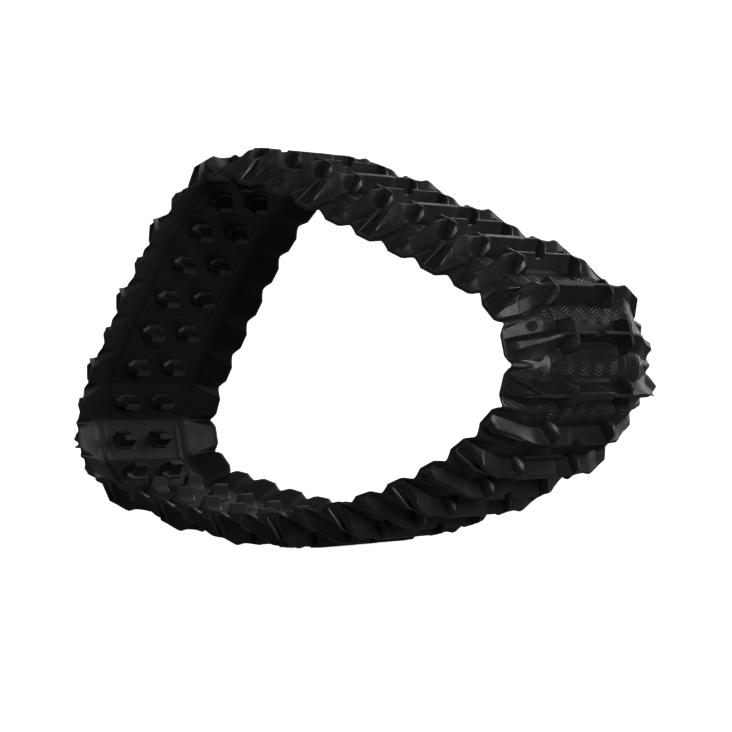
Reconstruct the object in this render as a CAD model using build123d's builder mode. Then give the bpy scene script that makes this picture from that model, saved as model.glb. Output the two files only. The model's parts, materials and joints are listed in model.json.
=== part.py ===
"""Endless moulded rubber track for a small off-road machine: 36 pitches in nine flexing sections."""

from build123d import *
import math
import os

# Loop: 36 equal pitches, measured along the cord ply (millimetres and degrees)
PITCH = 76.0
LINKS = 36
SECTION_LINKS = 4
START_DIRECTION = -21.0
GROUND_LINK = 15

# Turn of the belt at each flex line, clockwise, as (number of flex lines, turn at each one)
TOP_RUN = (4, 0.4)
FRONT_LEAD = (1, 20.5)
FRONT_WHEEL = (3, 32.25)
FRONT_EXIT = (2, 8.5)
ROCKER = (10, 3.6)
IDLER_DIP = (1, -6.0)
IDLER_WHEEL = (3, 35.0)
IDLER_EXIT = (1, 12.0)
REAR_RUN = (3, 1.5)
SPROCKET_LEAD = (2, 6.0)
SPROCKET_WHEEL = (2, 22.0)
FLEX_GROUPS = [
    TOP_RUN, FRONT_LEAD, FRONT_WHEEL, FRONT_EXIT, ROCKER, IDLER_DIP,
    IDLER_WHEEL, IDLER_EXIT, REAR_RUN, SPROCKET_LEAD, SPROCKET_WHEEL,
]

# Carcass
HALF_WIDTH = 160.0
FLAT_HALF_WIDTH = 100.0
SHOULDER_ANGLE = 27.0
BELT_THICKNESS = 8.0
EDGE_THICKNESS = 4.0
BEND_RADIUS = 14.0
SCALLOP_DEPTH = 9.0
SCALLOP_LENGTH = 46.0

# Flex line between two sections
BEAD_RADIUS = BELT_THICKNESS / 2
SEAT_RADIUS = BEAD_RADIUS + 0.55
SEAT_SETBACK = 2.2
SHOULDER_GAP = 0.4
FLEX_RELIEF = 3.1
BEAD_END_GAP = 0.5
SEAT_CUT_HEIGHT = 3 * SEAT_RADIUS
REACH = 70.0

# Cord ply
PLY_THICKNESS = 1.2
PLY_HALF_WIDTH = 96.0
PLY_END = 7.0

# Cross rods
ROD_RADIUS = 3.25
ROD_HALF_LENGTH = 94.0
ROD_LEVEL = BELT_THICKNESS / 2 + 4.6

# Drive lugs
DRIVE_OFFSET = 40.5
DRIVE_BASE = (30.0, 46.0)
DRIVE_TIP = (13.0, 30.0)
DRIVE_BASE_CORNER = 6.0
DRIVE_TIP_CORNER = 3.5
DRIVE_PAD = 2.5
DRIVE_PAD_MARGIN = 4.0
DRIVE_HEIGHT = 23.0

# Tread: bars with an end cap on each side, whose crest and foot are given by their distance out
TREAD_LEVEL = 32.0
TREAD_SINK = 3.0
BAR_HALF_LENGTH = 63.0
BAR_BASE = 24.0
BAR_TOP = 5.0
CAP_FOOT = (54.0, 77.0)
CAP_CREST = (60.0, 65.0)
CAP_DROP = 0.6
LONG_CAP = (52.0, 42.0)
SHORT_CAP = (40.0, 32.0)
NOTCH_FLOOR = 22.0
NOTCH_SPAN = (-20.0, 2.0)
NOTCH_SLANT = 5.0
BLOCK_TOP = 13.0
BLOCK_SPAN = (-58.0, 22.0)
NOTCHED_SHIFT = -4.0

# Ridges of the shoulder lugs: (y, middle along travel, base width, top width, top level)
LOW_RIDGE = (
    (66.0, -4.0, 22.0, 6.0, 30.0), (88.0, -3.0, 26.0, 6.0, 26.5), (96.0, -2.0, 28.0, 7.0, 23.5),
    (110.0, 0.0, 30.0, 8.0, 13.5), (124.0, 1.0, 32.0, 9.0, 4.5), (140.0, 3.0, 34.0, 10.0, -3.0),
    (151.0, 4.0, 34.0, 12.0, -8.5), (157.0, 4.0, 34.0, 16.0, -18.0),
)
TALL_RIDGE = (
    (66.0, 0.0, 22.0, 5.0, 30.5), (88.0, 0.0, 24.0, 5.0, 28.5), (102.0, 0.0, 26.0, 5.5, 30.5),
    (125.0, 0.0, 28.0, 6.0, 20.0), (132.0, 0.0, 28.0, 8.0, 13.5), (141.0, -1.0, 30.0, 13.0, 6.5),
    (157.0, -2.0, 34.0, 26.0, -23.5),
)
END_RIBS = (
    ((124.0, -1.0, 8.0, 3.0, 20.0), (141.0, -8.0, 9.0, 3.5, 12.0), (157.0, -15.0, 9.0, 3.5, -20.0)),
    ((124.0, 1.0, 8.0, 3.0, 20.0), (141.0, 6.0, 9.0, 3.5, 12.0), (157.0, 11.0, 9.0, 3.5, -20.0)),
)

UP = BELT_THICKNESS / 2
SLOPE = math.tan(math.radians(SHOULDER_ANGLE))


def unit(direction):
    """Unit vector along a direction given in degrees, in the plane of the loop."""
    angle = math.radians(direction)
    return math.cos(angle), math.sin(angle)


def heading(start, end):
    """Direction in degrees from one point of the loop to another."""
    return math.degrees(math.atan2(end[1] - start[1], end[0] - start[0]))


def flex_points():
    """The flex lines of the loop. Its last three pitches close it as an even arc."""
    turns = [turn for count, turn in FLEX_GROUPS for _ in range(count)]
    direction = START_DIRECTION
    points = [(0.0, 0.0)]
    for turn in turns + [0.0]:
        step = unit(direction)
        points.append((points[-1][0] + PITCH * step[0], points[-1][1] + PITCH * step[1]))
        direction -= turn
    gap = math.dist(points[-1], points[0])
    closing_turn = math.degrees(math.acos((gap / PITCH - 1) / 2))
    direction = heading(points[-1], points[0]) + closing_turn
    for _ in range(2):
        step = unit(direction)
        points.append((points[-1][0] + PITCH * step[0], points[-1][1] + PITCH * step[1]))
        direction -= closing_turn
    return points


def levelled(points):
    """The loop turned until its ground link lies level."""
    tilt = math.radians(-180.0 - heading(points[GROUND_LINK], points[GROUND_LINK + 1]))
    cosine = math.cos(tilt)
    sine = math.sin(tilt)
    return [(x * cosine - z * sine, x * sine + z * cosine) for x, z in points]


FLEX = levelled(flex_points())


def flex_point(k):
    """Flex line k, with k counted round the loop."""
    return FLEX[k % LINKS]


def direction_of(k):
    """Direction of travel along link k, in degrees."""
    return heading(flex_point(k), flex_point(k + 1))


def mitre_of(k):
    """Unit vector along the mitre at flex line k, pointing out of the loop."""
    before = unit(direction_of(k - 1))
    after = unit(direction_of(k))
    x = -(before[1] + after[1])
    z = before[0] + after[0]
    size = math.hypot(x, z)
    return x / size, z / size


def section_plane(k):
    """Plane across link k at mid-pitch: x across the belt, y out of the loop, z along travel."""
    start = flex_point(k)
    end = flex_point(k + 1)
    step = unit(direction_of(k))
    middle = ((start[0] + end[0]) / 2, 0, (start[1] + end[1]) / 2)
    return Plane(origin=middle, x_dir=(0, 1, 0), z_dir=(step[0], 0, step[1]))


def link_plane(k):
    """Plane of link k at mid-pitch: x along travel, y across the belt, z out of the loop."""
    start = flex_point(k)
    end = flex_point(k + 1)
    step = unit(direction_of(k))
    middle = ((start[0] + end[0]) / 2, 0, (start[1] + end[1]) / 2)
    return Plane(origin=middle, x_dir=(step[0], 0, step[1]), z_dir=(-step[1], 0, step[0]))


def flex_plane(k):
    """Plane at flex line k in the loop's plane: x along travel, y out of the loop, z across."""
    point = flex_point(k)
    out = mitre_of(k)
    return Plane(origin=(point[0], 0, point[1]), x_dir=(out[1], 0, -out[0]), z_dir=(0, -1, 0))


def belt_outline():
    """Corner points of the belt's cross-section, from the left edge over the top and back."""
    drop = (HALF_WIDTH - FLAT_HALF_WIDTH) * SLOPE
    rise = BELT_THICKNESS / 2
    lip = EDGE_THICKNESS / 2
    return [
        (-HALF_WIDTH, lip - drop), (-FLAT_HALF_WIDTH, rise), (FLAT_HALF_WIDTH, rise),
        (HALF_WIDTH, lip - drop), (HALF_WIDTH, -lip - drop), (FLAT_HALF_WIDTH, -rise),
        (-FLAT_HALF_WIDTH, -rise), (-HALF_WIDTH, -lip - drop),
    ]


def belt_run(plane, length):
    """A straight run of belt with its rounded shoulder bends."""
    with BuildPart() as run:
        with BuildSketch(plane) as outline:
            with BuildLine():
                Polyline(*belt_outline(), close=True)
            make_face()
            bends = outline.vertices().filter_by(lambda v: abs(abs(v.Y) - FLAT_HALF_WIDTH) < 0.01)
            fillet(bends, BEND_RADIUS)
        extrude(amount=length / 2, both=True)
    return run.part


def ply_run(plane, length):
    """A straight run of the cord ply, flat between the shoulders."""
    with BuildPart() as run:
        with BuildSketch(plane):
            Rectangle(2 * PLY_HALF_WIDTH, PLY_THICKNESS)
        extrude(amount=length / 2, both=True)
    return run.part


def mitred(run, k):
    """A run of belt or ply cut to the mitres at both ends of link k."""
    corners = []
    for index, side in ((k, -1), (k, 1), (k + 1, 1), (k + 1, -1)):
        point = flex_point(index)
        out = mitre_of(index)
        corners.append((point[0] + side * REACH * out[0], point[1] + side * REACH * out[1]))
    with BuildPart() as link:
        add(run)
        with BuildSketch(Plane.XZ):
            with BuildLine():
                Polyline(*corners, close=True)
            make_face()
        extrude(amount=2 * HALF_WIDTH, both=True, mode=Mode.INTERSECT)
    return link.part


def end_cut(k, side):
    """What is taken off a section's shoulders at flex line k so that they clear as it flexes."""
    lean = REACH * math.tan(math.radians(FLEX_RELIEF))
    with BuildPart() as cut:
        with BuildSketch(flex_plane(k)):
            with BuildLine():
                Polyline(
                    (side * SHOULDER_GAP, 0), (side * (SHOULDER_GAP + lean), REACH),
                    (-side * REACH, REACH), (-side * REACH, -REACH),
                    (side * (SHOULDER_GAP + lean), -REACH), close=True,
                )
            make_face()
        extrude(amount=2 * HALF_WIDTH, both=True)
        with BuildSketch(flex_plane(k)):
            Rectangle(4 * REACH, 4 * REACH)
        extrude(amount=FLAT_HALF_WIDTH - BEND_RADIUS, both=True, mode=Mode.SUBTRACT)
    return cut.part


def seat_cut(k):
    """The hollow across the flat of the belt at flex line k, round the next section's bead."""
    with BuildPart() as cut:
        with BuildSketch(flex_plane(k)):
            Circle(SEAT_RADIUS)
            Rectangle(2 * SEAT_SETBACK, SEAT_CUT_HEIGHT)
        extrude(amount=FLAT_HALF_WIDTH - BEND_RADIUS, both=True)
    return cut.part


def bead(k):
    """The round bead across the flat of the belt at flex line k."""
    with BuildPart() as rod:
        with BuildSketch(flex_plane(k)):
            Circle(BEAD_RADIUS)
        extrude(amount=FLAT_HALF_WIDTH - BEND_RADIUS - BEAD_END_GAP, both=True)
    return rod.part


def scallop(k):
    """The scallops that flex line k makes in both edges of the belt."""
    half = SCALLOP_LENGTH / 2
    radius = (half**2 + SCALLOP_DEPTH**2) / (2 * SCALLOP_DEPTH)
    point = flex_point(k)
    out = mitre_of(k)
    across = Plane(
        origin=(point[0], 0, point[1]), x_dir=(0, 1, 0), z_dir=(out[0], 0, out[1]),
    )
    with BuildPart() as cut:
        with BuildSketch(across):
            with Locations((HALF_WIDTH + radius - SCALLOP_DEPTH, 0), (SCALLOP_DEPTH - HALF_WIDTH - radius, 0)):
                Circle(radius)
        extrude(amount=REACH, both=True)
    return cut.part


def frustum(base_size, tip_size, base_level, tip_level, base_corner=0.0, tip_corner=0.0):
    """A tapered block centred on the link, with its corners cut off where a corner is given."""
    with BuildPart() as block:
        for size, level, corner in (
            (base_size, base_level, base_corner), (tip_size, tip_level, tip_corner),
        ):
            with BuildSketch(Plane.XY.offset(level)) as outline:
                Rectangle(*size)
                if corner > 0:
                    chamfer(outline.vertices(), corner)
        loft(ruled=True)
    return block.part


def ridge(stations, side):
    """A ridge across the shoulder, through (y, middle x, base width, top width, top level)."""
    with BuildPart() as body:
        for y, middle, base, top, level in stations:
            with BuildSketch(Plane(origin=(0, side * y, 0), x_dir=(1, 0, 0), z_dir=(0, -1, 0))):
                floor = UP - max(0.0, y - FLAT_HALF_WIDTH) * SLOPE - TREAD_SINK
                with BuildLine():
                    Polyline(
                        (middle - base / 2, floor), (middle - top / 2, level),
                        (middle + top / 2, level), (middle + base / 2, floor), close=True,
                    )
                make_face()
        loft(ruled=True)
    return body.part


def belt_link(k):
    """The belt of link k, between its mitres."""
    return mitred(belt_run(section_plane(k), 2 * PITCH), k)


def ply_section(first):
    """The cord ply of one section, stopped short of the flex line at each end."""
    last = first + SECTION_LINKS
    with BuildPart() as ply:
        for k in range(first, last):
            add(mitred(ply_run(section_plane(k), 2 * PITCH), k))
        for k in (first, last):
            with BuildSketch(flex_plane(k)):
                Rectangle(2 * PLY_END, REACH / 2)
            extrude(amount=HALF_WIDTH, both=True, mode=Mode.SUBTRACT)
    return ply.part


def carcass_section(first, ply):
    """The belt of one section: four links, a bead at the end, a seat at the start."""
    last = first + SECTION_LINKS
    with BuildPart() as belt:
        for k in range(first, last):
            add(belt_link(k))
        add(bead(last))
        for k in range(first, last + 1):
            add(scallop(k), mode=Mode.SUBTRACT)
        add(seat_cut(first), mode=Mode.SUBTRACT)
        add(end_cut(first, 1), mode=Mode.SUBTRACT)
        add(end_cut(last, -1), mode=Mode.SUBTRACT)
        add(ply, mode=Mode.SUBTRACT)
    return belt.part


def caps(lengths):
    """The two end caps of a tread bar, which run along travel and lean in towards the bar."""
    with BuildPart() as pair:
        for side in (-1, 1):
            for length, span, level in (
                (lengths[0], CAP_FOOT, UP), (lengths[1], CAP_CREST, TREAD_LEVEL - CAP_DROP),
            ):
                middle = side * (span[0] + span[1]) / 2
                with BuildSketch(Plane(origin=(0, middle, level))):
                    Rectangle(length, span[1] - span[0])
            loft(ruled=True)
    return pair.part


def across_links(shape, links, label):
    """One solid on each of the given links, kept together as one named piece."""
    group = Compound(children=[shape.moved(link_plane(k).location) for k in links])
    group.label = label
    return group


straight_belt = belt_run(Plane(origin=(0, 0, 0), x_dir=(0, 1, 0), z_dir=(1, 0, 0)), 2 * PITCH)

with BuildPart() as cross_rod:
    with BuildSketch(Plane(origin=(0, 0, ROD_LEVEL), x_dir=(1, 0, 0), z_dir=(0, -1, 0))):
        Circle(ROD_RADIUS)
    extrude(amount=ROD_HALF_LENGTH, both=True)

with BuildPart() as drive_lug:
    add(frustum(
        (DRIVE_BASE[0] + DRIVE_PAD_MARGIN, DRIVE_BASE[1] + DRIVE_PAD_MARGIN), DRIVE_BASE,
        -UP, -UP - DRIVE_PAD, DRIVE_BASE_CORNER, DRIVE_BASE_CORNER,
    ))
    add(frustum(
        DRIVE_BASE, DRIVE_TIP, -UP - DRIVE_PAD, -UP - DRIVE_PAD - DRIVE_HEIGHT,
        DRIVE_BASE_CORNER, DRIVE_TIP_CORNER,
    ))

with BuildPart() as notched_bar:
    with Locations((NOTCHED_SHIFT, 0, 0)):
        add(frustum(
            (BAR_BASE, 2 * BAR_HALF_LENGTH), (BAR_TOP, 2 * BAR_HALF_LENGTH - BAR_TOP), UP, TREAD_LEVEL,
        ))
    with BuildSketch(Plane.YZ):
        with BuildLine():
            Polyline(
                (NOTCH_SPAN[0], TREAD_LEVEL), (NOTCH_SPAN[0] + NOTCH_SLANT, NOTCH_FLOOR),
                (NOTCH_SPAN[1] - NOTCH_SLANT, NOTCH_FLOOR), (NOTCH_SPAN[1], TREAD_LEVEL), close=True,
            )
        make_face()
    extrude(amount=BAR_BASE, both=True, mode=Mode.SUBTRACT)
    with Locations((NOTCHED_SHIFT, 0, 0)):
        add(caps(LONG_CAP))
    add(cross_rod.part, mode=Mode.SUBTRACT)

with BuildPart() as thick_bar:
    add(frustum(
        (BAR_BASE, 2 * BAR_HALF_LENGTH), (BAR_TOP, 2 * BAR_HALF_LENGTH - BAR_TOP), UP, TREAD_LEVEL,
    ))
    block_length = BLOCK_SPAN[1] - BLOCK_SPAN[0]
    with Locations((0, (BLOCK_SPAN[0] + BLOCK_SPAN[1]) / 2, 0)):
        add(frustum((BAR_BASE, block_length), (BLOCK_TOP, block_length - BAR_TOP), UP, TREAD_LEVEL))
    add(caps(SHORT_CAP))
    add(cross_rod.part, mode=Mode.SUBTRACT)


def shoulder_lug(ridges, bar, side):
    """The tread on one shoulder, seated on the belt and butted to the tread bar."""
    with BuildPart() as lug:
        for stations in ridges:
            add(ridge(stations, side))
        add(straight_belt, mode=Mode.SUBTRACT)
        add(bar, mode=Mode.SUBTRACT)
        add(cross_rod.part, mode=Mode.SUBTRACT)
    return lug.part


BARS = (notched_bar.part, thick_bar.part)
RIDGES = ((LOW_RIDGE,), (TALL_RIDGE,) + END_RIBS)
SHOULDER_LUGS = [
    [shoulder_lug(ridges, bar, side) for side in (-1, 1)] for ridges, bar in zip(RIDGES, BARS)
]


def in_pairs(first):
    """The links of one section, with the tread design (0 or 1) of each."""
    return [(k, k % 2) for k in range(first, first + SECTION_LINKS)]


pieces = []
for number, first in enumerate(range(0, LINKS, SECTION_LINKS), start=1):
    links = range(first, first + SECTION_LINKS)
    cord_ply = ply_section(first)
    carcass = carcass_section(first, cord_ply)
    carcass.label = f"carcass_{number}"
    cord_ply.label = f"cord_ply_{number}"
    pieces.append(carcass)
    pieces.append(cord_ply)
    pieces.append(across_links(cross_rod.part, links, f"cross_rods_{number}"))

    drive = [
        drive_lug.part.moved(link_plane(k).location * Location((0, side * DRIVE_OFFSET, 0)))
        for k in links for side in (-1, 1)
    ]
    pieces.append(Compound(label=f"drive_lugs_{number}", children=drive))

    bars = [BARS[design].moved(link_plane(k).location) for k, design in in_pairs(first)]
    pieces.append(Compound(label=f"tread_bars_{number}", children=bars))

    lugs = [
        lug.moved(link_plane(k).location)
        for k, design in in_pairs(first) for lug in SHOULDER_LUGS[design]
    ]
    pieces.append(Compound(label=f"shoulder_lugs_{number}", children=lugs))

box = Compound(children=[piece.moved(Location()) for piece in pieces]).bounding_box()
to_origin = Location((-(box.min.X + box.max.X) / 2, 0, -box.min.Z))

os.makedirs("parts", exist_ok=True)
for piece in pieces:
    placed = piece.moved(to_origin)
    placed.label = piece.label
    export_step(placed, f"parts/{piece.label}.step")

print("loop offset", tuple(round(v, 4) for v in to_origin.position))
print("size", round(box.size.X, 1), round(box.size.Y, 1), round(box.size.Z, 1))
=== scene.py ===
import bpy
import json
import math
import bmesh
import numpy as np
from mathutils import Matrix, Vector


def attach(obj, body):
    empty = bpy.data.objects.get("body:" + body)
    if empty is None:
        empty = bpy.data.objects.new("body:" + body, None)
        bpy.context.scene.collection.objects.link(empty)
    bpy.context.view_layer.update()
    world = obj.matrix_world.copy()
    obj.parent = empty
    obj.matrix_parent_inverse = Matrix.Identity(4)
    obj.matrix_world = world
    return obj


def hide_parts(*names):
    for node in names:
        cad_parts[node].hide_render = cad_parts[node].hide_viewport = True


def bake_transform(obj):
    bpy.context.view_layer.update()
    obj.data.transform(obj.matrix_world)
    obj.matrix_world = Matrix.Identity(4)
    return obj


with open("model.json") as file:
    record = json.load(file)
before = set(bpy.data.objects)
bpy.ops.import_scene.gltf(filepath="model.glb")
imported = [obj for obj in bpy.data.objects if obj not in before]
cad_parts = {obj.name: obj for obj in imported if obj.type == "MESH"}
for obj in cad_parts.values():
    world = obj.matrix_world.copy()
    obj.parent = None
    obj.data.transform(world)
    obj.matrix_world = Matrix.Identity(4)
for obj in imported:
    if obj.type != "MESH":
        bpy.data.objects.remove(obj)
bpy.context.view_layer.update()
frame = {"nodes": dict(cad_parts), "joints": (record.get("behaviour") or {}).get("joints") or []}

MM = 0.001
PITCH = 76.0
LINKS = 36
PER_SECTION = 4
START_DIRECTION = -21.0
GROUND_LINK = 15
FLEX_GROUPS = [
    (4, 0.4), (1, 20.5), (3, 32.25), (2, 8.5), (10, 3.6), (1, -6.0),
    (3, 35.0), (1, 12.0), (3, 1.5), (2, 6.0), (2, 22.0),
]
HINGE_NAMES = {
    4: "top_run_flex", 8: "front_corner_flex", 12: "rocker_flex", 16: "ground_front_flex",
    20: "ground_rear_flex", 24: "idler_corner_flex", 28: "rear_run_flex", 32: "sprocket_corner_flex",
}
BEND = 13.0  # length of belt on each side of a flex line that takes the bend
OPEN_GAP = 0.05  # the two ends at the open pivot stop this far short of it, and lean away from it
OPEN_LEAN = 0.0145

FLAT_HALF = 100.0
HALF_WIDTH = 160.0
SLOPE = math.tan(math.radians(27.0))
CROWN = 9.0
BELT_UP = 4.0
LIP = 2.0
SCALLOP_DEPTH = 3.5
SCALLOP_HALF = 23.0
LIP_ROUNDING = 3.2

# Fine relief of the belt: distances from its middle line, heights and half-widths, in mm
LADDER_RIBS_AT = (77.0, 85.0, 93.0, 101.0)
LADDER_HEIGHT = 1.5
LADDER_HALF_LENGTH = 15.0
FAN_START = 118.0
FAN_SPREAD = 15.0 / 34.0
FAN_DEPTH = 2.2
OUTER_CREASE_DEPTH = 1.3
PLEAT_START = 104.0
PLEAT_LENGTH = 52.0
PLEAT_RISE = 7.5
PLEAT_NARROW = 2.0
PLEAT_WIDEN = 19.0
INNER_RIB_AT = 84.0
INNER_RIB_HEIGHT = 2.2
INNER_GROOVE_AT = 91.0
INNER_GROOVE_DEPTH = 1.1
INNER_CREASE_DEPTH = 0.9
INNER_CREASE_END = 80.0


# ---------------------------------------------------------------- the loop
def loop_points():
    turns = [turn for count, turn in FLEX_GROUPS for _ in range(count)]
    direction = START_DIRECTION
    pts = [np.zeros(2)]
    for turn in turns + [0.0]:
        a = math.radians(direction)
        pts.append(pts[-1] + PITCH * np.array([math.cos(a), math.sin(a)]))
        direction -= turn
    gap = pts[0] - pts[-1]
    closing = math.degrees(math.acos((np.linalg.norm(gap) / PITCH - 1) / 2))
    direction = math.degrees(math.atan2(gap[1], gap[0])) + closing
    for _ in range(2):
        a = math.radians(direction)
        pts.append(pts[-1] + PITCH * np.array([math.cos(a), math.sin(a)]))
        direction -= closing
    pts = np.array(pts)
    ground = pts[GROUND_LINK + 1] - pts[GROUND_LINK]
    tilt = math.radians(-180.0) - math.atan2(ground[1], ground[0])
    turn = np.array([[math.cos(tilt), -math.sin(tilt)], [math.sin(tilt), math.cos(tilt)]])
    return pts @ turn.T, tilt


FLEX, TILT = loop_points()
hinge_at = {j["name"]: j["pos_m"] for j in frame["joints"]}
anchor = np.array(hinge_at[HINGE_NAMES[16]])
FLEX = FLEX + np.array([anchor[0], anchor[2]]) / MM - FLEX[16]
NEXT = np.roll(FLEX, -1, 0)
HEADING = np.arctan2(NEXT[:, 1] - FLEX[:, 1], NEXT[:, 0] - FLEX[:, 0])
TURN = (np.roll(HEADING, 1) - HEADING + math.pi) % (2 * math.pi) - math.pi


def on_belt(s, y, n):
    """Points in the frame, in metres, from s along the belt, y across it and n out of it, in mm."""
    s, y, n = (np.asarray(v, float) for v in (s, y, n))
    k = np.floor(s / PITCH).astype(int)
    x = s - k * PITCH
    late = x > PITCH / 2
    corner = np.where(late, k + 1, k) % LINKS
    along = np.where(late, x - PITCH, x)
    k = k % LINKS
    heading = HEADING[k]
    ux, uz = np.cos(heading), np.sin(heading)
    straight_x = FLEX[k, 0] + x * ux - n * uz
    straight_z = FLEX[k, 1] + x * uz + n * ux
    turn = TURN[corner]
    turn = np.where(np.abs(turn) < 1e-4, 1e-4, turn)
    radius = BEND / np.tan(turn / 2)
    before = HEADING[(corner - 1) % LINKS]
    start_x = FLEX[corner, 0] - BEND * np.cos(before)
    start_z = FLEX[corner, 1] - BEND * np.sin(before)
    centre_x = start_x + radius * np.sin(before)
    centre_z = start_z - radius * np.cos(before)
    direction = before - (np.clip(along / BEND, -1, 1) + 1) * turn / 2
    arc_x = centre_x - (radius + n) * np.sin(direction)
    arc_z = centre_z + (radius + n) * np.cos(direction)
    bent = np.abs(along) < BEND
    return np.stack([np.where(bent, arc_x, straight_x), y, np.where(bent, arc_z, straight_z)], -1) * MM


def on_link(k, pts):
    """Points in the frame, in metres, from a link's own x along travel, y across and n out, in mm."""
    k = k % LINKS
    u = np.array([math.cos(HEADING[k]), math.sin(HEADING[k])])
    middle = (FLEX[k] + NEXT[k]) / 2
    out = np.empty_like(pts)
    out[:, 0] = middle[0] + pts[:, 0] * u[0] - pts[:, 2] * u[1]
    out[:, 1] = pts[:, 1]
    out[:, 2] = middle[1] + pts[:, 0] * u[1] + pts[:, 2] * u[0]
    return out * MM


def ramp(v, half):
    """0 below -half, v above half, and a smooth curve between."""
    v = np.asarray(v, float)
    return np.where(v < -half, 0, np.where(v > half, v, (v + half) ** 2 / (4 * half)))


def step(v, low, high):
    """0 below low, 1 above high, and a smooth curve between."""
    t = np.clip((np.asarray(v, float) - low) / (high - low), 0, 1)
    return t * t * (3 - 2 * t)


def mid_level(y):
    """Level of the belt's middle surface, which slopes down at the shoulders."""
    return -ramp(np.abs(y) - FLAT_HALF, CROWN) * SLOPE


def thickness(y):
    return BELT_UP + (LIP - BELT_UP) * np.clip((np.abs(y) - FLAT_HALF) / (HALF_WIDTH - FLAT_HALF), 0, 1)


def surface(y):
    """Level of the belt's outer face."""
    return mid_level(y) + thickness(y)


# ---------------------------------------------------------------- mesh helpers
def make_object(name, verts, faces, uv=None, smooth=True, material=None):
    mesh = bpy.data.meshes.new(name)
    mesh.from_pydata([tuple(v) for v in verts], [], [tuple(int(i) for i in f) for f in faces])
    mesh.validate()
    if uv is not None:
        layer = mesh.uv_layers.new(name="belt")
        loops = np.empty(len(mesh.loops), int)
        mesh.loops.foreach_get("vertex_index", loops)
        layer.data.foreach_set("uv", np.asarray(uv, np.float32)[loops].ravel())
    mesh.polygons.foreach_set("use_smooth", [smooth] * len(mesh.polygons))
    ob = bpy.data.objects.new(name, mesh)
    bpy.context.scene.collection.objects.link(ob)
    if material is not None:
        mesh.materials.append(material)
    return ob


def loft(stations):
    """A closed shell through rings of points with the same count, ends capped."""
    rings = np.array(stations, float)
    count, size = rings.shape[:2]
    verts = rings.reshape(-1, 3)
    faces = []
    for r in range(count - 1):
        for c in range(size):
            a, b = r * size + c, r * size + (c + 1) % size
            faces.append((a, b, b + size, a + size))
    faces.append(tuple(range(size - 1, -1, -1)))
    faces.append(tuple(range((count - 1) * size, count * size)))
    return verts, faces


class Shape:
    """Several closed shells kept as one set of points and faces, in a link's own millimetres."""

    def __init__(self):
        self.verts = np.zeros((0, 3))
        self.faces = []

    def add(self, verts, faces):
        base = len(self.verts)
        self.verts = np.vstack([self.verts, verts])
        self.faces += [tuple(i + base for i in f) for f in faces]

    def mirrored(self):
        other = Shape()
        other.add(self.verts * np.array([1, -1, 1]), [f[::-1] for f in self.faces])
        return other


def resample(table, spacing, smooth):
    """Rows (position, values...) at closer positions, straight or along a smooth curve."""
    table = np.array(table, float)
    out = [table[0]]
    for i in range(len(table) - 1):
        steps = max(1, int(round(abs(table[i + 1, 0] - table[i, 0]) / spacing)))
        for j in range(1, steps + 1):
            t = j / steps
            row = table[i] + (table[i + 1] - table[i]) * t
            if smooth:
                before = table[max(i - 1, 0)]
                after = table[min(i + 2, len(table) - 1)]
                a, b = table[i], table[i + 1]
                width = max(b[0] - a[0], 1e-6)
                ma = (b - before) / max(b[0] - before[0], 1e-6) * width
                mb = (after - a) / max(after[0] - a[0], 1e-6) * width
                row = (
                    (2 * t**3 - 3 * t**2 + 1) * a + (t**3 - 2 * t**2 + t) * ma
                    + (-2 * t**3 + 3 * t**2) * b + (t**3 - t**2) * mb
                )
                row[0] = a[0] + (b[0] - a[0]) * t
            out.append(row)
    return np.array(out)


# ---------------------------------------------------------------- the belt
ROWS_PER_PITCH = 30


def cross_section():
    """Belt outline as (y, side), side 1 outside and -1 inside, once round."""
    flat = np.linspace(-FLAT_HALF + 5, FLAT_HALF - 5, 77)
    shoulder = np.linspace(FLAT_HALF - 2.5, HALF_WIDTH, 27)
    outer = np.concatenate([-shoulder[::-1], flat, shoulder])
    flat_in = np.linspace(-FLAT_HALF + 10, FLAT_HALF - 10, 37)
    shoulder_in = np.linspace(FLAT_HALF - 5, HALF_WIDTH, 19)
    inner = np.concatenate([-shoulder_in[::-1], flat_in, shoulder_in])[::-1]
    return np.concatenate([outer, inner]), np.concatenate([np.ones(len(outer)), -np.ones(len(inner))])


def groove(distance, width):
    """1 on a line and 0 away from it, with a rounded section."""
    return np.exp(-(distance / width) ** 2)


def outer_relief(c, y):
    """Small height of the outer face, with c the distance past the nearest flex line."""
    a = np.abs(y)
    ladder = sum(groove(a - at, 2.1) for at in LADDER_RIBS_AT)
    relief = LADDER_HEIGHT * ladder * step(LADDER_HALF_LENGTH - np.abs(c), 0, 3)
    fan = groove(np.abs(c) - FAN_SPREAD * (a - FAN_START), 2.0) * step(a, FAN_START - 1, FAN_START + 6)
    relief = relief - FAN_DEPTH * fan * step(HALF_WIDTH - 2 - a, 0, 4)
    relief = relief - OUTER_CREASE_DEPTH * groove(c, 2.0) * step(a, FAN_START - 6, FAN_START)
    return relief


def pleat(c, y):
    """How far the shoulder folds outwards round a flex line."""
    spread = np.clip((np.abs(y) - PLEAT_START) / PLEAT_LENGTH, 0, 1)
    half = PLEAT_NARROW + PLEAT_WIDEN * spread
    fold = np.clip(1 - np.sqrt((c / half) ** 2 + 0.012), 0, 1)
    return PLEAT_RISE * spread * fold


def inner_relief(c, y):
    """Small height of the inner face, out of the rubber."""
    a = np.abs(y)
    rib = INNER_RIB_HEIGHT * groove(a - INNER_RIB_AT, 2.6)
    beside = INNER_GROOVE_DEPTH * groove(a - INNER_GROOVE_AT, 2.8)
    crease = INNER_CREASE_DEPTH * groove(c, 2.6) * step(INNER_CREASE_END - a, 0, 6)
    return rib - beside - crease


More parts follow.
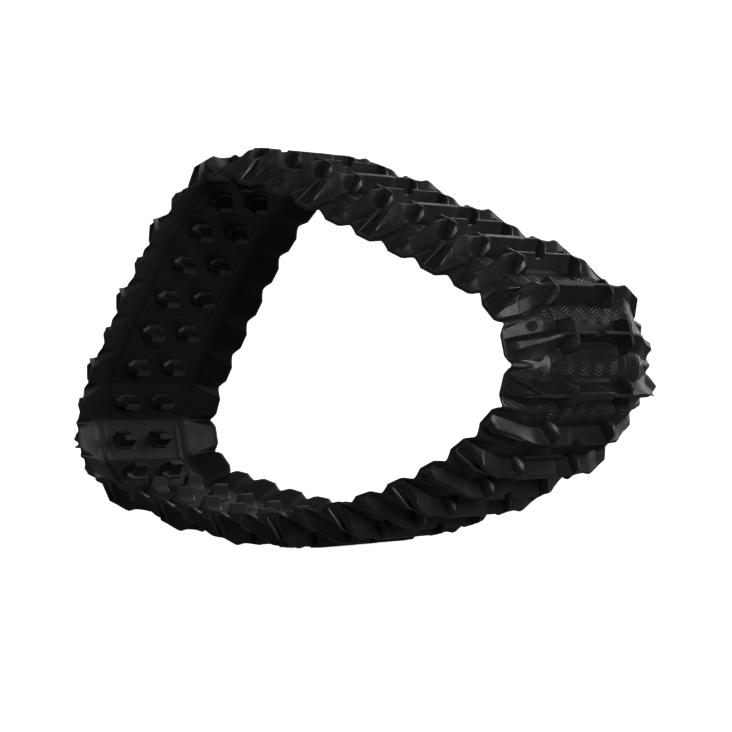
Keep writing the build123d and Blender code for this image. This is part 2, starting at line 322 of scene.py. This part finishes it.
def edge_of(c):
    """Distance of the scalloped edge from the middle line, with c the distance past a flex line."""
    radius = (SCALLOP_HALF**2 + SCALLOP_DEPTH**2) / (2 * SCALLOP_DEPTH)
    inside = np.sqrt(np.maximum(radius**2 - np.minimum(np.abs(c), SCALLOP_HALF) ** 2, 0))
    return HALF_WIDTH - np.maximum(inside - (radius - SCALLOP_DEPTH), 0)


def belt_piece(name, start, end, caps, material):
    """The belt between two places along it, in pitches."""
    rows = int(round((end - start) * ROWS_PER_PITCH)) + 1
    s = np.linspace(start * PITCH, end * PITCH, rows)
    ring_y, ring_side = cross_section()
    size = len(ring_y)
    S, Y = np.meshgrid(s, ring_y, indexing="ij")
    side = np.broadcast_to(ring_side, S.shape)
    c = (S + PITCH / 2) % PITCH - PITCH / 2
    edge = edge_of(c)
    a = np.abs(Y)
    narrowing = (edge - FLAT_HALF) / (HALF_WIDTH - FLAT_HALF)
    warped = np.where(a > FLAT_HALF, FLAT_HALF + (a - FLAT_HALF) * narrowing, a)
    Yw = np.sign(Y) * warped
    lip = step(a, HALF_WIDTH - LIP_ROUNDING, HALF_WIDTH)
    half = thickness(Yw) * (1 - 0.75 * lip)
    relief = np.where(side > 0, outer_relief(c, Yw), inner_relief(c, Yw))
    relief = relief * (1 - step(a, HALF_WIDTH - 6, HALF_WIDTH - 1))
    n = mid_level(Yw) + pleat(c, Yw) + side * (half + relief)
    S = S.copy()
    relieved = OPEN_GAP + np.abs(n) * OPEN_LEAN
    if caps[0]:
        S[0] += relieved[0]
    if caps[1]:
        S[-1] -= relieved[-1]
    verts = on_belt(S, Yw, n).reshape(-1, 3)
    idx = np.arange(rows - 1)[:, None] * size + np.arange(size)[None, :]
    nxt = np.arange(rows - 1)[:, None] * size + (np.arange(size)[None, :] + 1) % size
    quads = np.stack([idx, idx + size, nxt + size, nxt], -1).reshape(-1, 4)
    faces = [tuple(q) for q in quads.tolist()]
    if caps[0]:
        faces.append(tuple(range(size)))
    if caps[1]:
        faces.append(tuple(range((rows - 1) * size, rows * size))[::-1])
    uv = np.stack([S * MM, np.where(side > 0, Yw, Yw + 1000.0) * MM], -1).reshape(-1, 2)
    return make_object(name, verts, faces, uv, True, material)


# ---------------------------------------------------------------- the lugs
def wall(table, axis, flare=0.72, spacing=4.0, smooth=False, rounding=0.9, sink=3.0):
    """A wall along x or y. Rows: (position, left foot, left top, right top, right foot, top level)."""
    rings = []
    for p, lf, lt, rt, rf, top in resample(table, spacing, smooth):
        def floor(q):
            return float(surface(p if axis == "y" else q))
        f_left, f_right = floor(lf), floor(rf)
        r = min(rounding, max(0.05, (rt - lt) / 2 - 0.02))
        left_mid = (lf + (lt - lf) * flare, f_left + 0.42 * (top - f_left))
        right_mid = (rf + (rt - rf) * flare, f_right + 0.42 * (top - f_right))
        profile = [
            (lf - 0.6, f_left - sink), (lf, f_left + 0.15), left_mid,
            (lt, top - r), (lt + r, top), (rt - r, top), (rt, top - r),
            right_mid, (rf, f_right + 0.15), (rf + 0.6, f_right - sink),
        ]
        if axis == "y":
            rings.append([(q, p, level) for q, level in profile])
        else:
            rings.append([(p, q, level) for q, level in profile])
    return loft(rings)


def octagon(lx, ly, corner, level):
    """A rectangle with its corners cut off, at a level of the link."""
    hx, hy = lx / 2, ly / 2
    return [
        (hx, -hy + corner, level), (hx, hy - corner, level), (hx - corner, hy, level),
        (-hx + corner, hy, level), (-hx, hy - corner, level), (-hx, -hy + corner, level),
        (-hx + corner, -hy, level), (hx - corner, -hy, level),
    ]


def drive_lug():
    """One drive lug, flared at its foot, from the belt down to the tip."""
    shape = Shape()
    shape.add(*loft([
        octagon(35.5, 49, 11.5, -3.2), octagon(34.5, 48, 11.2, -4.4), octagon(32.5, 47, 10.8, -6.2),
        octagon(31.4, 46.2, 10.6, -6.9), octagon(26.0, 45, 8.8, -8.0), octagon(21.5, 39.5, 6.4, -11.0),
        octagon(17.0, 34, 3.4, -16.5), octagon(11.5, 29, 1.3, -27.4), octagon(10.4, 28, 1.0, -28.9),
        octagon(8.8, 26.4, 0.7, -29.5),
    ]))
    return shape


CAP_REACH = (22.5, 17.0)


def tread_bar(kind):
    """The bar across the belt with its end caps: kind 0 is notched, kind 1 is thick and plain."""
    shape = Shape()
    if kind == 0:
        shape.add(*wall([
            (-63, -11, -2.6, 2.6, 11, 31.8), (-21, -11, -2.6, 2.6, 11, 31.8),
            (-16.5, -11, -3.4, 3.4, 11, 22.4), (-2.5, -11, -3.4, 3.4, 11, 22.4),
            (2, -11, -2.6, 2.6, 11, 31.8), (63, -11, -2.6, 2.6, 11, 31.8),
        ], "y", 0.62, 12))
        shape.add(*wall([
            (-52, 5, 8, 14, 17.5, 8.6), (40, 5, 8, 14, 17.5, 8.6),
        ], "y", 0.6, 20))
    else:
        shape.add(*wall([
            (-62, -11, -2.6, 2.6, 11, 31.6), (-57, -12.5, -6.2, 6.2, 12.5, 31.9),
            (19, -12.5, -6.2, 6.2, 12.5, 31.9), (25, -11, -2.6, 2.6, 11, 31.8),
            (63, -11, -2.6, 2.6, 11, 31.8),
        ], "y", 0.62, 12))
        shape.add(*wall([
            (-52, -19.5, -17, -8, -5, 9.2), (34, -19.5, -17, -8, -5, 9.2),
        ], "y", 0.6, 20))
    reach = CAP_REACH[kind]
    for side in (-1, 1):
        rows = [
            (-reach - 3.5, 56, 60.0, 62.6, 73, 19.0), (-reach, 55, 59.7, 64.0, 75, 28.0),
            (-0.75 * reach, 54.5, 59.5, 64.6, 76.5, 31.4), (0.75 * reach, 54.5, 59.5, 64.6, 76.5, 31.4),
            (reach, 55, 59.7, 64.0, 75, 28.0), (reach + 3.5, 56, 60.0, 62.6, 73, 19.0),
        ]
        shape.add(*wall([
            (x, *sorted(side * v for v in (lf, lt, rt, rf)), top) for x, lf, lt, rt, rf, top in rows
        ], "x", 0.45, 6, rounding=0.6))
    return shape


# Walls that make up a shoulder lug, as rows for wall(): the distance across the belt, then the left foot,
# left top, right top and right foot along it, then the top level
LOW_RIDGE = [
    (62, -14, -7, -1, 6, 30.5), (78, -15, -6.2, -0.2, 12, 28.0), (88, -15, -5.0, 1.4, 16, 26.4),
    (96, -14.5, -3.8, 3.0, 19.5, 23.2), (110, -13, -1.8, 5.4, 24, 13.2), (124, -12, -1.4, 7.4, 26, 4.6),
    (140, -11, -0.6, 9.4, 26, -2.0), (148, -10, -1.0, 11.4, 24, -5.8), (152.5, -9.5, -2, 11.4, 23, -10.5),
    (157, -9, -3, 11, 20, -19.0),
]
LOW_RIBS = [
    [(104, -2.6, -1.0, 1.4, 3.4, 17.6), (112, -2.6, -1.0, 1.4, 3.4, 13.0), (124, -2.6, -1.0, 1.4, 3.4, 5.6),
     (140, -2.2, -0.6, 1.8, 3.8, -2.0), (150, -2.2, -0.6, 1.8, 3.8, -7.2),
     (154, -2.4, -1.0, 1.6, 3.6, -12.0)],
    [(104, 1.4, 2.6, 4.6, 6.4, 17.0), (112, 2.2, 3.4, 5.6, 7.4, 12.8), (124, 4.0, 5.2, 7.6, 9.6, 5.4),
     (140, 6.0, 7.4, 9.8, 12.0, -2.2), (150, 7.6, 9.2, 11.8, 14, -7.4), (154, 8.0, 9.6, 12.0, 14.4, -12.2)],
]
TALL_RIDGE = [
    (62, -9, -2.6, 2.6, 9, 31.4), (78, -12, -2.7, 2.7, 14, 29.0), (90, -13, -2.7, 2.7, 18, 28.2),
    (102, -14, -2.8, 2.8, 21, 30.4), (112, -14.5, -3.0, 3.0, 24, 26.2), (126, -15, -3.4, 3.4, 25, 19.2),
]
END_FACE = [
    (125.5, -15, -3.2, 3.2, 25, 18.0), (128.0, -15, -3.6, 3.6, 24, 11.0), (141, -15.5, -7.5, 6.0, 21, 1.0),
    (150, -16, -11, 8.0, 19, -12.5), (157, -17, -13.5, 10.5, 17, -24.4),
]
END_RIBS = [
    [(121, -8, -2.9, 0.2, 3, 21.8), (128, -7.5, -4.4, -1.6, 1, 18.0), (134, -9.5, -6.4, -3.6, -1, 15.2),
     (141, -12.5, -9.4, -6.6, -3.5, 11.6), (150, -16, -13.0, -10.2, -7, -6.0),
     (157.4, -18.5, -15.8, -13.0, -10, -20.5)],
    [(121, -3, -0.2, 2.9, 8, 21.8), (128, -1, 1.6, 4.4, 8, 18.0), (134, 0.5, 3.2, 6.0, 9.5, 15.2),
     (141, 2.5, 5.0, 7.8, 11.5, 11.6), (150, 4.5, 7.4, 10.2, 13.5, -6.0),
     (157.4, 6.5, 9.6, 12.4, 15.5, -20.5)],
]


def shoulder_lug(kind):
    """The lug on the +y shoulder."""
    shape = Shape()
    if kind == 0:
        shape.add(*wall(LOW_RIDGE, "y", 0.62, 5, True, 1.4))
        for rib in LOW_RIBS:
            shape.add(*wall(rib, "y", 0.7, 5, True, 0.8))
    else:
        shape.add(*wall(TALL_RIDGE, "y", 0.66, 5, True, 1.0))
        shape.add(*wall(END_FACE, "y", 0.7, 4, False, 1.0))
        for rib in END_RIBS:
            shape.add(*wall(rib, "y", 0.88, 4, False, 0.6))
    return shape


SHARP_ANGLE = 24.0


def is_worn_or_highlit(corners, tip_level):
    """Whether a face of a drive lug is the tip, or the ledge at its foot, which run against the wheels.
    These faces get lighter, glossier rubber, which is partly wear and partly a painted highlight.
    """
    on_tip = corners[:, 2].max() < tip_level
    on_ledge = corners[:, 2].min() > -8.5 and corners[:, 2].max() < -6.5 and abs(corners[:, 0].mean()) > 14
    return on_tip or on_ledge


def shifted(shape, x):
    """The same shape moved along the belt."""
    other = Shape()
    other.add(shape.verts + np.array([x, 0, 0]), shape.faces)
    return other


def join_links(name, links, shapes_of, material, tip_material=None, tip_level=None):
    """One mesh of every lug on these links, each in its place."""
    whole = Shape()
    worn_or_highlit = []
    for k in links:
        for shape in shapes_of(k):
            whole.add(on_link(k, shape.verts), shape.faces)
            if tip_material is not None:
                worn_or_highlit += [is_worn_or_highlit(shape.verts[list(f)], tip_level) for f in shape.faces]
    ob = make_object(name, whole.verts, whole.faces, None, True, material)
    # The tip material is lighter rubber: partly wear from the wheels, partly a painted highlight on the
    # tips and ledges.
    if tip_material is not None:
        ob.data.materials.append(tip_material)
        ob.data.polygons.foreach_set("material_index", [int(w) for w in worn_or_highlit])
    bm = bmesh.new()
    bm.from_mesh(ob.data)
    bmesh.ops.recalc_face_normals(bm, faces=bm.faces)
    bm.to_mesh(ob.data)
    bm.free()
    ob.data.set_sharp_from_angle(angle=math.radians(SHARP_ANGLE))
    return ob


# ---------------------------------------------------------------- materials
class Nodes:
    def __init__(self, name):
        self.material = bpy.data.materials.new(name)
        self.material.use_nodes = True
        self.tree = self.material.node_tree
        self.tree.nodes.clear()
        self.out = self.tree.nodes.new("ShaderNodeOutputMaterial")
        self.shader = self.tree.nodes.new("ShaderNodeBsdfPrincipled")
        self.link(self.shader.outputs[0], self.out.inputs[0])

    def link(self, a, b):
        self.tree.links.new(a, b)

    def put(self, value, socket):
        if isinstance(value, (int, float)):
            socket.default_value = value
        else:
            self.link(value, socket)

    def math(self, op, a, b=None, c=None, clamp=False):
        node = self.tree.nodes.new("ShaderNodeMath")
        node.operation = op
        node.use_clamp = clamp
        for i, v in enumerate((a, b, c)):
            if v is not None:
                self.put(v, node.inputs[i])
        return node.outputs[0]

    def noise(self, vector, scale, detail=2.0, roughness=0.5):
        node = self.tree.nodes.new("ShaderNodeTexNoise")
        self.link(vector, node.inputs["Vector"])
        node.inputs["Scale"].default_value = scale
        node.inputs["Detail"].default_value = detail
        node.inputs["Roughness"].default_value = roughness
        return node.outputs["Fac"]

    def ranged(self, value, a, b, c, d):
        node = self.tree.nodes.new("ShaderNodeMapRange")
        self.link(value, node.inputs["Value"])
        for key, v in (("From Min", a), ("From Max", b), ("To Min", c), ("To Max", d)):
            node.inputs[key].default_value = v
        return node.outputs["Result"]

    def colour(self, value, low, high):
        node = self.tree.nodes.new("ShaderNodeMix")
        node.data_type = "RGBA"
        self.link(value, node.inputs["Factor"])
        node.inputs[6].default_value = (*low, 1)
        node.inputs[7].default_value = (*high, 1)
        return node.outputs[2]

    def bump(self, height, distance, strength=1.0, normal=None):
        node = self.tree.nodes.new("ShaderNodeBump")
        node.inputs["Strength"].default_value = strength
        node.inputs["Distance"].default_value = distance
        self.link(height, node.inputs["Height"])
        if normal is not None:
            self.link(normal, node.inputs["Normal"])
        return node.outputs[0]

    def place(self):
        return self.tree.nodes.new("ShaderNodeTexCoord").outputs["Object"]

    def belt_uv(self):
        node = self.tree.nodes.new("ShaderNodeUVMap")
        node.uv_map = "belt"
        parts = self.tree.nodes.new("ShaderNodeSeparateXYZ")
        self.link(node.outputs[0], parts.inputs[0])
        return parts.outputs[0], parts.outputs[1]


def rubber_base(m, low, high, rough_low, rough_high):
    """Mottled dark rubber with uneven sheen. Returns the normal of its fine grain."""
    at = m.place()
    m.link(m.colour(m.noise(at, 35, 3), low, high), m.shader.inputs["Base Color"])
    m.link(m.ranged(m.noise(at, 60, 4, 0.6), 0.3, 0.7, rough_low, rough_high), m.shader.inputs["Roughness"])
    m.shader.inputs["IOR"].default_value = 1.5
    m.shader.inputs["Specular IOR Level"].default_value = 0.5
    return m.bump(m.noise(at, 900, 3, 0.6), 0.00012, 0.6)


DARK, DARK_MOTTLE = (0.0045, 0.0045, 0.0048), (0.0085, 0.0085, 0.009)
# Lighter rubber for the drive lug tips and ledges: partly wear, partly a painted highlight.
WORN_HIGHLIGHT_DARK, WORN_HIGHLIGHT_LIGHT = (0.020, 0.020, 0.021), (0.032, 0.032, 0.034)


def lug_rubber(name, low, high, rough_low, rough_high):
    m = Nodes(name)
    m.link(rubber_base(m, low, high, rough_low, rough_high), m.shader.inputs["Normal"])
    return m.material


# Moulded patterns of the outer face, in metres
CHEVRON_HALF_PERIOD = 0.0165
CHEVRON_SLANT = 0.5
CHEVRON_LINES = 0.005
CHEVRON_REACH = 0.0165
CHEVRON_HALF_WIDTH = 0.099
CHEVRON_CENTRE = -0.001
HATCH_LINES = 0.0036
HATCH_ALONG = 0.015
HATCH_ACROSS = 0.117
HATCH_RADIUS = 0.008
PATTERN_DEPTH = 0.0013


def belt_rubber():
    m = Nodes("belt_rubber")
    fine = rubber_base(m, (0.004, 0.004, 0.0044), (0.0078, 0.0078, 0.0084), 0.40, 0.54)
    s, y = m.belt_uv()
    half_pitch = PITCH * MM / 2
    c = m.math("WRAP", s, half_pitch, -half_pitch)
    a = m.math("ABSOLUTE", y)
    zig = m.math("MULTIPLY", m.math("PINGPONG", y, CHEVRON_HALF_PERIOD), CHEVRON_SLANT)
    stripe = m.math("SINE", m.math("MULTIPLY", m.math("SUBTRACT", c, zig), 2 * math.pi / CHEVRON_LINES))
    outward = m.math("POWER", m.math("DIVIDE", a, CHEVRON_HALF_WIDTH), 2.0)
    reach = m.math("MULTIPLY", m.math("SQRT", m.math("SUBTRACT", 1.0, outward, clamp=True)), CHEVRON_REACH)
    past_centre = m.math("ABSOLUTE", m.math("SUBTRACT", c, CHEVRON_CENTRE))
    inside = m.ranged(m.math("SUBTRACT", reach, past_centre), 0.0, 0.0015, 0.0, 1.0)
    patches = m.ranged(m.noise(m.place(), 45, 1), 0.36, 0.46, 0.7, 1.0)
    centre = m.math("MULTIPLY", m.math("MULTIPLY", stripe, inside), patches)
    off = m.math("SUBTRACT", m.math("ABSOLUTE", c), HATCH_ALONG)
    far = m.math("SUBTRACT", a, HATCH_ACROSS)
    radius = m.math("SQRT", m.math("ADD", m.math("POWER", off, 2.0), m.math("POWER", far, 2.0)))
    disc = m.ranged(radius, HATCH_RADIUS + 0.0005, HATCH_RADIUS - 0.0005, 0.0, 1.0)
    one = m.math("SINE", m.math("MULTIPLY", m.math("ADD", c, a), 2 * math.pi / HATCH_LINES))
    two = m.math("SINE", m.math("MULTIPLY", m.math("SUBTRACT", c, a), 2 * math.pi / HATCH_LINES))
    hatch = m.math("MULTIPLY", m.math("MAXIMUM", one, two), disc)
    height = m.math("ADD", m.math("MULTIPLY", centre, 0.5), m.math("MULTIPLY", hatch, 0.5))
    m.link(m.bump(height, PATTERN_DEPTH, 1.0, fine), m.shader.inputs["Normal"])
    return m.material


def plain(name, colour, rough):
    """A dull material with a little mottle, for what is sealed inside."""
    m = Nodes(name)
    at = m.place()
    low = tuple(v * 0.9 for v in colour)
    m.link(m.colour(m.noise(at, 120, 2), low, colour), m.shader.inputs["Base Color"])
    m.shader.inputs["Roughness"].default_value = rough
    m.link(m.bump(m.noise(at, 1500, 2), 0.0001, 0.5), m.shader.inputs["Normal"])
    return m.material


BELT = belt_rubber()
TREAD = lug_rubber("tread_rubber", DARK, DARK_MOTTLE, 0.38, 0.52)
DRIVE = lug_rubber("drive_rubber", DARK, DARK_MOTTLE, 0.38, 0.52)
# Lighter, glossier rubber for the drive lug tips and ledges: partly wear, partly a painted highlight.
WORN_AND_HIGHLIGHT = lug_rubber("worn_and_painted_highlight_rubber", WORN_HIGHLIGHT_DARK, WORN_HIGHLIGHT_LIGHT, 0.24, 0.34)
CORD = plain("cord_fabric", (0.50, 0.40, 0.18), 0.8)
GLASS = plain("glass_fibre", (0.66, 0.64, 0.46), 0.4)

# ---------------------------------------------------------------- the pieces
NOTCHED_SHIFT = -4.0
DRIVE_OFFSET = 40.5
DRIVE_TIP_LEVEL = -27.0
BARS = [shifted(tread_bar(0), NOTCHED_SHIFT), tread_bar(1)]
SHOULDERS = [[shoulder_lug(kind), shoulder_lug(kind).mirrored()] for kind in (0, 1)]
LUG = drive_lug()
LUG_PAIR = Shape()
for side in (-1, 1):
    LUG_PAIR.add(LUG.verts + np.array([0, side * DRIVE_OFFSET, 0]), LUG.faces)

for n in range(1, 10):
    first = (n - 1) * PER_SECTION
    last = first + PER_SECTION
    links = range(first, last)
    body = f"section_{n}"
    start = first if n == 1 else first + 0.5
    end = last if n == 9 else last - 0.5
    belt = belt_piece(f"Carcass_{n}", start, end, (n == 1, n == 9), BELT)
    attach(belt, body)
    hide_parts(f"carcass_{n}")
    if n < 9:
        strip = belt_piece(f"Flex_strip_{n}", last - 0.5, last + 0.5, (False, False), BELT)
        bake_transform(strip)
    bars = join_links(f"Tread_bars_{n}", links, lambda k: [BARS[k % 2]], TREAD)
    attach(bars, body)
    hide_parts(f"tread_bars_{n}")
    lugs = join_links(f"Shoulder_lugs_{n}", links, lambda k: SHOULDERS[k % 2], TREAD)
    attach(lugs, body)
    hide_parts(f"shoulder_lugs_{n}")
    drive = join_links(f"Drive_lugs_{n}", links, lambda k: [LUG_PAIR], DRIVE, WORN_AND_HIGHLIGHT, DRIVE_TIP_LEVEL)
    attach(drive, body)
    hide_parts(f"drive_lugs_{n}")
    for node, material in ((f"cord_ply_{n}", CORD), (f"cross_rods_{n}", GLASS)):
        mesh = frame["nodes"][node].data
        mesh.materials.clear()
        mesh.materials.append(material)

# ---------------------------------------------------------------- stage, light and camera
def stage_mesh(name, verts, faces, colour, glow):
    m = Nodes(name)
    m.shader.inputs["Base Color"].default_value = (*colour, 1)
    m.shader.inputs["Roughness"].default_value = 0.9
    m.shader.inputs["Emission Color"].default_value = (1, 1, 1, 1)
    m.shader.inputs["Emission Strength"].default_value = glow
    ob = make_object(name, verts, faces, None, False, m.material)
    return ob


FLOOR_CORNERS = [(-9, -9, 0), (9, -9, 0), (9, 9, 0), (-9, 9, 0)]
FLOOR_WHITE = (0.92, 0.92, 0.92)
WALL_WHITE = (0.9, 0.9, 0.9)
floor = stage_mesh("Floor", FLOOR_CORNERS, [(0, 1, 2, 3)], FLOOR_WHITE, 0.95)
WALL_CORNERS = [(x, y, z) for z in (0, 14) for x, y in ((-9, -9), (9, -9), (9, 9), (-9, 9))]
backdrop = stage_mesh("Backdrop", WALL_CORNERS, [(2, 3, 7, 6), (3, 0, 4, 7)], WALL_WHITE, 1.2)
opposite = stage_mesh("Backdrop_opposite", WALL_CORNERS, [(0, 1, 5, 4), (1, 2, 6, 5)], WALL_WHITE, 1.2)
opposite.visible_shadow = False
for pale in (floor, backdrop, opposite):
    pale.visible_diffuse = False
    pale.visible_glossy = False

scene = bpy.context.scene
world = bpy.data.worlds.new("Studio")
world.use_nodes = True
world.node_tree.nodes["Background"].inputs[0].default_value = (1, 1, 1, 1)
world.node_tree.nodes["Background"].inputs[1].default_value = 0.1
scene.world = world
scene.view_settings.view_transform = "Standard"


LIGHT_AIM = (0.0, 0.0, 0.3)


def area_light(name, place, size, power):
    data = bpy.data.lights.new(name, "AREA")
    data.shape = "RECTANGLE"
    data.size, data.size_y = size
    data.energy = power
    ob = bpy.data.objects.new(name, data)
    ob.location = place
    ob.rotation_euler = (Vector(LIGHT_AIM) - Vector(place)).to_track_quat("-Z", "Y").to_euler()
    scene.collection.objects.link(ob)


# Name, place in metres, size in metres, power in watts
area_light("Back", (-0.3, 3.2, 1.4), (4.2, 2.2), 56)
area_light("Overhead", (-0.4, 1.6, 2.6), (1.8, 1.0), 4)
area_light("Right", (3.2, -0.9, 0.5), (1.0, 0.9), 56)
area_light("Front left", (-1.8, -2.6, 1.2), (1.2, 1.2), 4)

middle = FLEX.mean(0)
turn_c, turn_s = math.cos(TILT), math.sin(TILT)
AZIMUTH = 0.811
SENSOR = 36.0  # mm, as is the lens
LENS = 103.1803
CAMERA_OFFSET = (34.06, -31.39, -0.01)  # from the middle of the loop, in pitches
offset = np.array(CAMERA_OFFSET) * PITCH
back = np.array([math.sin(AZIMUTH), -math.cos(AZIMUTH), 0.0])
up = np.array([0.0, 0.0, 1.0])


def tilted(v):
    return np.array([v[0] * turn_c - v[2] * turn_s, v[1], v[0] * turn_s + v[2] * turn_c])


position = (np.array([middle[0], 0, middle[1]]) + tilted(offset)) * MM
back, up = tilted(back), tilted(up)
right = np.cross(up, back)
cam = bpy.data.cameras.new("Camera")
cam.lens = LENS
cam.sensor_width = SENSOR
cam.clip_end = 100
camera = bpy.data.objects.new("Camera", cam)
camera.matrix_world = Matrix((
    (right[0], up[0], back[0], position[0]), (right[1], up[1], back[1], position[1]),
    (right[2], up[2], back[2], position[2]), (0, 0, 0, 1),
))
scene.collection.objects.link(camera)
scene.camera = camera
